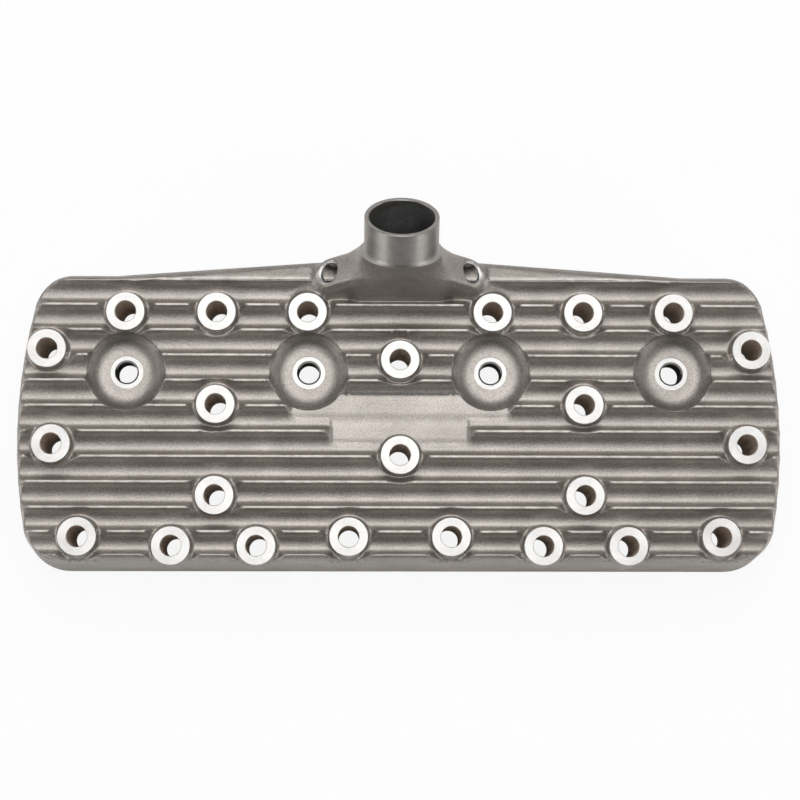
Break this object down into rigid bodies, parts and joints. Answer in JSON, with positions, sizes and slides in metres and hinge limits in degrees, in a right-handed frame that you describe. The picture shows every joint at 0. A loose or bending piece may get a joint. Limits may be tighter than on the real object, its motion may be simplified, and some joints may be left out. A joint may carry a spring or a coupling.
{
  "type": "cylinder head",
  "caption": "Finned cast aluminium cylinder head for a side-valve V8, with machined stud bosses, round spark plug wells and a leaning hose neck.",
  "frame": {"origin": "on the gasket face, on the plane of symmetry, midway between the two centre studs", "axes": "+X along the head, +Y towards the edge with the hose neck, +Z out of the ribbed side, away from the block"},
  "size_m": [0.472, 0.2199, 0.1216],
  "materials": {
    "cast_aluminium": "satin"
  },
  "bodies": {
    "root": {"cylinder_head": "cast_aluminium"}
  },
  "joints": []
}
